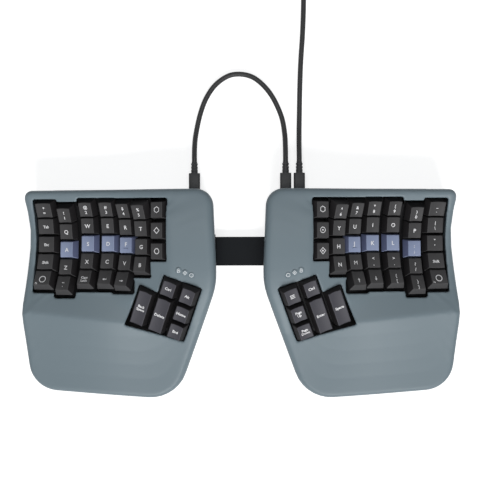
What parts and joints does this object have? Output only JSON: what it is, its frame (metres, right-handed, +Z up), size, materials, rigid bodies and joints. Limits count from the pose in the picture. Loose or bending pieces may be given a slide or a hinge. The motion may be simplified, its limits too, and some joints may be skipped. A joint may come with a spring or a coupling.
{
  "type": "ergonomic split keyboard",
  "caption": "Ergonomic split keyboard: contoured halves with concave key wells, thumb clusters and palm rests, joined by a bridge plate and a link cable.",
  "frame": {"origin": "on the desk, midway between the two halves and midway from front to rear of the cases", "axes": "+X to the right along the row of the two halves, +Y to the rear where the cables leave, +Z up"},
  "size_m": [0.4156, 0.5027, 0.0558],
  "materials": {
    "case_shell": "satin painted plastic, grey-blue",
    "base_shell": "fine-grained black plastic",
    "well_plastic": "black moulded plastic",
    "switch_plastic": "black moulded plastic",
    "circuit_board": "green solder mask",
    "steel": "plain steel",
    "lens": "milky clear plastic",
    "rubber": "matte rubber",
    "bridge": "fine-grained black plastic",
    "cable_jacket": "smooth black jacket",
    "plug_plastic": "black overmould",
    "leg_plastic": "black moulded plastic",
    "cap_blue": "lavender-blue keycap plastic",
    "cap_dark": "charcoal keycap plastic"
  },
  "bodies": {
    "keyboard": {"left_top_case": "case_shell", "right_top_case": "case_shell", "left_bottom_case": "base_shell", "right_bottom_case": "base_shell", "left_key_well": "well_plastic", "right_key_well": "well_plastic", "left_thumb_plate": "well_plastic", "right_thumb_plate": "well_plastic", "key_switches": "switch_plastic", "circuit_boards": "circuit_board", "usb_sockets": "steel", "indicator_lenses": "lens", "rubber_feet": "rubber", "case_screws": "steel", "bridge_plate": "bridge", "bridge_screws": "steel", "tent_hinge_pins": "steel", "link_cable": "cable_jacket", "link_plugs": "plug_plastic", "host_cable": "cable_jacket", "host_coil": "cable_jacket", "host_plug": "plug_plastic", "computer_plug": "plug_plastic", "coil_tie": "cable_jacket"},
    "left_tent_leg": {"left_tent_leg": "leg_plastic"},
    "right_tent_leg": {"right_tent_leg": "leg_plastic"},
    "left_tent_button": {"left_tent_button": "leg_plastic"},
    "right_tent_button": {"right_tent_button": "leg_plastic"},
    "left_row1_outer_keys": {"left_row1_outer_keys": "cap_dark"},
    "left_row1_inner_keys": {"left_row1_inner_keys": "cap_dark"},
    "left_row2_outer_keys": {"left_row2_outer_keys": "cap_dark"},
    "left_row2_inner_keys": {"left_row2_inner_keys": "cap_dark"},
    "left_row3_outer_key": {"left_row3_outer_key": "cap_dark"},
    "left_home_keys": {"left_home_keys": "cap_blue"},
    "left_home_index_key": {"left_home_index_key": "cap_blue"},
    "left_row3_inner_key": {"left_row3_inner_key": "cap_dark"},
    "left_row4_outer_keys": {"left_row4_outer_keys": "cap_dark"},
    "left_row4_inner_keys": {"left_row4_inner_keys": "cap_dark"},
    "left_row5_outer_keys": {"left_row5_outer_keys": "cap_dark"},
    "left_row5_inner_key": {"left_row5_inner_key": "cap_dark"},
    "left_side_keys": {"left_side_keys": "cap_dark"},
    "left_thumb_outer_key": {"left_thumb_outer_key": "cap_dark"},
    "left_thumb_middle_key": {"left_thumb_middle_key": "cap_dark"},
    "left_thumb_small_keys": {"left_thumb_small_keys": "cap_dark"},
    "right_row1_outer_keys": {"right_row1_outer_keys": "cap_dark"},
    "right_row1_inner_keys": {"right_row1_inner_keys": "cap_dark"},
    "right_row2_outer_keys": {"right_row2_outer_keys": "cap_dark"},
    "right_row2_inner_keys": {"right_row2_inner_keys": "cap_dark"},
    "right_row3_outer_key": {"right_row3_outer_key": "cap_dark"},
    "right_home_keys": {"right_home_keys": "cap_blue"},
    "right_home_index_key": {"right_home_index_key": "cap_blue"},
    "right_row3_inner_key": {"right_row3_inner_key": "cap_dark"},
    "right_row4_outer_keys": {"right_row4_outer_keys": "cap_dark"},
    "right_row4_inner_keys": {"right_row4_inner_keys": "cap_dark"},
    "right_row5_outer_keys": {"right_row5_outer_keys": "cap_dark"},
    "right_row5_inner_key": {"right_row5_inner_key": "cap_dark"},
    "right_side_keys": {"right_side_keys": "cap_dark"},
    "right_thumb_outer_key": {"right_thumb_outer_key": "cap_dark"},
    "right_thumb_middle_key": {"right_thumb_middle_key": "cap_dark"},
    "right_thumb_small_keys": {"right_thumb_small_keys": "cap_dark"}
  },
  "joints": [
    {"name": "left_tent_leg_fold", "type": "hinge", "parent": "keyboard", "child": "left_tent_leg", "pos_m": [-0.0998, 0, 0.0054], "axis": [0, 1, 0], "range_deg": [0, 30]},
    {"name": "right_tent_leg_fold", "type": "hinge", "parent": "keyboard", "child": "right_tent_leg", "pos_m": [0.0998, 0, 0.0054], "axis": [0, -1, 0], "range_deg": [0, 30]},
    {"name": "left_tent_button_press", "type": "slide", "parent": "keyboard", "child": "left_tent_button", "axis": [0, 0, 1], "range_m": [0, 0.0025], "stiffness_N_per_m": 300, "springref_m": -0.003},
    {"name": "right_tent_button_press", "type": "slide", "parent": "keyboard", "child": "right_tent_button", "axis": [0, 0, 1], "range_m": [0, 0.0025], "stiffness_N_per_m": 300, "springref_m": -0.003},
    {"name": "left_row1_outer_keys_press", "type": "slide", "parent": "keyboard", "child": "left_row1_outer_keys", "axis": [0.2039, 0.4226, -0.8831], "range_m": [0, 0.004], "stiffness_N_per_m": 320, "springref_m": -0.004},
    {"name": "left_row1_inner_keys_press", "type": "slide", "parent": "keyboard", "child": "left_row1_inner_keys", "axis": [0.3248, 0.4226, -0.8461], "range_m": [0, 0.004], "stiffness_N_per_m": 160, "springref_m": -0.004},
    {"name": "left_row2_outer_keys_press", "type": "slide", "parent": "keyboard", "child": "left_row2_outer_keys", "axis": [0.2222, 0.1564, -0.9624], "range_m": [0, 0.004], "stiffness_N_per_m": 320, "springref_m": -0.004},
    {"name": "left_row2_inner_keys_press", "type": "slide", "parent": "keyboard", "child": "left_row2_inner_keys", "axis": [0.354, 0.1564, -0.9221], "range_m": [0, 0.004], "stiffness_N_per_m": 160, "springref_m": -0.004},
    {"name": "left_row3_outer_key_press", "type": "slide", "parent": "keyboard", "child": "left_row3_outer_key", "axis": [0.2248, -0.0349, -0.9738], "range_m": [0, 0.004], "stiffness_N_per_m": 80, "springref_m": -0.004},
    {"name": "left_home_keys_press", "type": "slide", "parent": "keyboard", "child": "left_home_keys", "axis": [0.2248, -0.0349, -0.9738], "range_m": [0, 0.004], "stiffness_N_per_m": 240, "springref_m": -0.004},
    {"name": "left_home_index_key_press", "type": "slide", "parent": "keyboard", "child": "left_home_index_key", "axis": [0.3581, -0.0349, -0.933], "range_m": [0, 0.004], "stiffness_N_per_m": 80, "springref_m": -0.004},
    {"name": "left_row3_inner_key_press", "type": "slide", "parent": "keyboard", "child": "left_row3_inner_key", "axis": [0.3581, -0.0349, -0.933], "range_m": [0, 0.004], "stiffness_N_per_m": 80, "springref_m": -0.004},
    {"name": "left_row4_outer_keys_press", "type": "slide", "parent": "keyboard", "child": "left_row4_outer_keys", "axis": [0.2173, -0.2588, -0.9412], "range_m": [0, 0.004], "stiffness_N_per_m": 320, "springref_m": -0.004},
    {"name": "left_row4_inner_keys_press", "type": "slide", "parent": "keyboard", "child": "left_row4_inner_keys", "axis": [0.3462, -0.2588, -0.9018], "range_m": [0, 0.004], "stiffness_N_per_m": 160, "springref_m": -0.004},
    {"name": "left_row5_outer_keys_press", "type": "slide", "parent": "keyboard", "child": "left_row5_outer_keys", "axis": [0.1986, -0.4695, -0.8603], "range_m": [0, 0.004], "stiffness_N_per_m": 320, "springref_m": -0.004},
    {"name": "left_row5_inner_key_press", "type": "slide", "parent": "keyboard", "child": "left_row5_inner_key", "axis": [0.3164, -0.4695, -0.8243], "range_m": [0, 0.004], "stiffness_N_per_m": 80, "springref_m": -0.004},
    {"name": "left_side_keys_press", "type": "slide", "parent": "keyboard", "child": "left_side_keys", "axis": [0.454, 0, -0.891], "range_m": [0, 0.004], "stiffness_N_per_m": 240, "springref_m": -0.004},
    {"name": "left_thumb_outer_key_press", "type": "slide", "parent": "keyboard", "child": "left_thumb_outer_key", "axis": [0.1984, 0.2904, -0.9361], "range_m": [0, 0.004], "stiffness_N_per_m": 80, "springref_m": -0.004},
    {"name": "left_thumb_middle_key_press", "type": "slide", "parent": "keyboard", "child": "left_thumb_middle_key", "axis": [0.1984, 0.2904, -0.9361], "range_m": [0, 0.004], "stiffness_N_per_m": 80, "springref_m": -0.004},
    {"name": "left_thumb_small_keys_press", "type": "slide", "parent": "keyboard", "child": "left_thumb_small_keys", "axis": [0.1984, 0.2904, -0.9361], "range_m": [0, 0.004], "stiffness_N_per_m": 320, "springref_m": -0.004},
    {"name": "right_row1_outer_keys_press", "type": "slide", "parent": "keyboard", "child": "right_row1_outer_keys", "axis": [-0.2039, 0.4226, -0.8831], "range_m": [0, 0.004], "stiffness_N_per_m": 320, "springref_m": -0.004},
    {"name": "right_row1_inner_keys_press", "type": "slide", "parent": "keyboard", "child": "right_row1_inner_keys", "axis": [-0.3248, 0.4226, -0.8461], "range_m": [0, 0.004], "stiffness_N_per_m": 160, "springref_m": -0.004},
    {"name": "right_row2_outer_keys_press", "type": "slide", "parent": "keyboard", "child": "right_row2_outer_keys", "axis": [-0.2222, 0.1564, -0.9624], "range_m": [0, 0.004], "stiffness_N_per_m": 320, "springref_m": -0.004},
    {"name": "right_row2_inner_keys_press", "type": "slide", "parent": "keyboard", "child": "right_row2_inner_keys", "axis": [-0.354, 0.1564, -0.9221], "range_m": [0, 0.004], "stiffness_N_per_m": 160, "springref_m": -0.004},
    {"name": "right_row3_outer_key_press", "type": "slide", "parent": "keyboard", "child": "right_row3_outer_key", "axis": [-0.2248, -0.0349, -0.9738], "range_m": [0, 0.004], "stiffness_N_per_m": 80, "springref_m": -0.004},
    {"name": "right_home_keys_press", "type": "slide", "parent": "keyboard", "child": "right_home_keys", "axis": [-0.2248, -0.0349, -0.9738], "range_m": [0, 0.004], "stiffness_N_per_m": 240, "springref_m": -0.004},
    {"name": "right_home_index_key_press", "type": "slide", "parent": "keyboard", "child": "right_home_index_key", "axis": [-0.3581, -0.0349, -0.933], "range_m": [0, 0.004], "stiffness_N_per_m": 80, "springref_m": -0.004},
    {"name": "right_row3_inner_key_press", "type": "slide", "parent": "keyboard", "child": "right_row3_inner_key", "axis": [-0.3581, -0.0349, -0.933], "range_m": [0, 0.004], "stiffness_N_per_m": 80, "springref_m": -0.004},
    {"name": "right_row4_outer_keys_press", "type": "slide", "parent": "keyboard", "child": "right_row4_outer_keys", "axis": [-0.2173, -0.2588, -0.9412], "range_m": [0, 0.004], "stiffness_N_per_m": 320, "springref_m": -0.004},
    {"name": "right_row4_inner_keys_press", "type": "slide", "parent": "keyboard", "child": "right_row4_inner_keys", "axis": [-0.3462, -0.2588, -0.9018], "range_m": [0, 0.004], "stiffness_N_per_m": 160, "springref_m": -0.004},
    {"name": "right_row5_outer_keys_press", "type": "slide", "parent": "keyboard", "child": "right_row5_outer_keys", "axis": [-0.1986, -0.4695, -0.8603], "range_m": [0, 0.004], "stiffness_N_per_m": 320, "springref_m": -0.004},
    {"name": "right_row5_inner_key_press", "type": "slide", "parent": "keyboard", "child": "right_row5_inner_key", "axis": [-0.3164, -0.4695, -0.8243], "range_m": [0, 0.004], "stiffness_N_per_m": 80, "springref_m": -0.004},
    {"name": "right_side_keys_press", "type": "slide", "parent": "keyboard", "child": "right_side_keys", "axis": [-0.454, 0, -0.891], "range_m": [0, 0.004], "stiffness_N_per_m": 240, "springref_m": -0.004},
    {"name": "right_thumb_outer_key_press", "type": "slide", "parent": "keyboard", "child": "right_thumb_outer_key", "axis": [-0.1984, 0.2904, -0.9361], "range_m": [0, 0.004], "stiffness_N_per_m": 80, "springref_m": -0.004},
    {"name": "right_thumb_middle_key_press", "type": "slide", "parent": "keyboard", "child": "right_thumb_middle_key", "axis": [-0.1984, 0.2904, -0.9361], "range_m": [0, 0.004], "stiffness_N_per_m": 80, "springref_m": -0.004},
    {"name": "right_thumb_small_keys_press", "type": "slide", "parent": "keyboard", "child": "right_thumb_small_keys", "axis": [-0.1984, 0.2904, -0.9361], "range_m": [0, 0.004], "stiffness_N_per_m": 320, "springref_m": -0.004}
  ]
}
